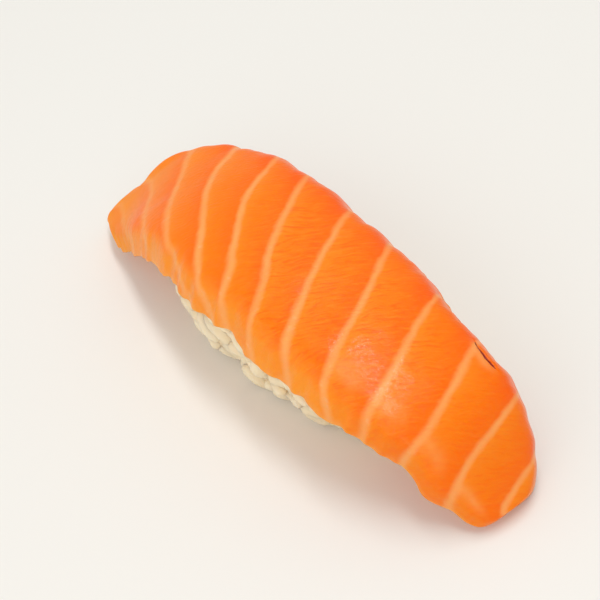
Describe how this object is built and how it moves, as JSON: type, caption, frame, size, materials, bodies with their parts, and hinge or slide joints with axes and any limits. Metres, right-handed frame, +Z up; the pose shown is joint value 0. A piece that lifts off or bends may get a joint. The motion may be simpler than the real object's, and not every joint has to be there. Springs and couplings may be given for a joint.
{
  "type": "salmon nigiri",
  "caption": "Finger of pressed sushi rice with a slice of raw salmon draped over it, striped with pale fat lines; rests flat on its rice.",
  "frame": {"origin": "middle of the bounding box seen from above, at the height of the rice's flat base", "axes": "+X along the slice towards its broad head end, -Y the front side, +Z up"},
  "size_m": [0.0952, 0.0314, 0.0242],
  "materials": {
    "salmon": "raw salmon flesh, wet and slightly see-through, orange with thin pale fat lines across it",
    "rice": "cooked short-grain rice, off-white, moist, slightly see-through"
  },
  "bodies": {
    "root": {"salmon": "salmon", "rice": "rice"}
  },
  "joints": []
}
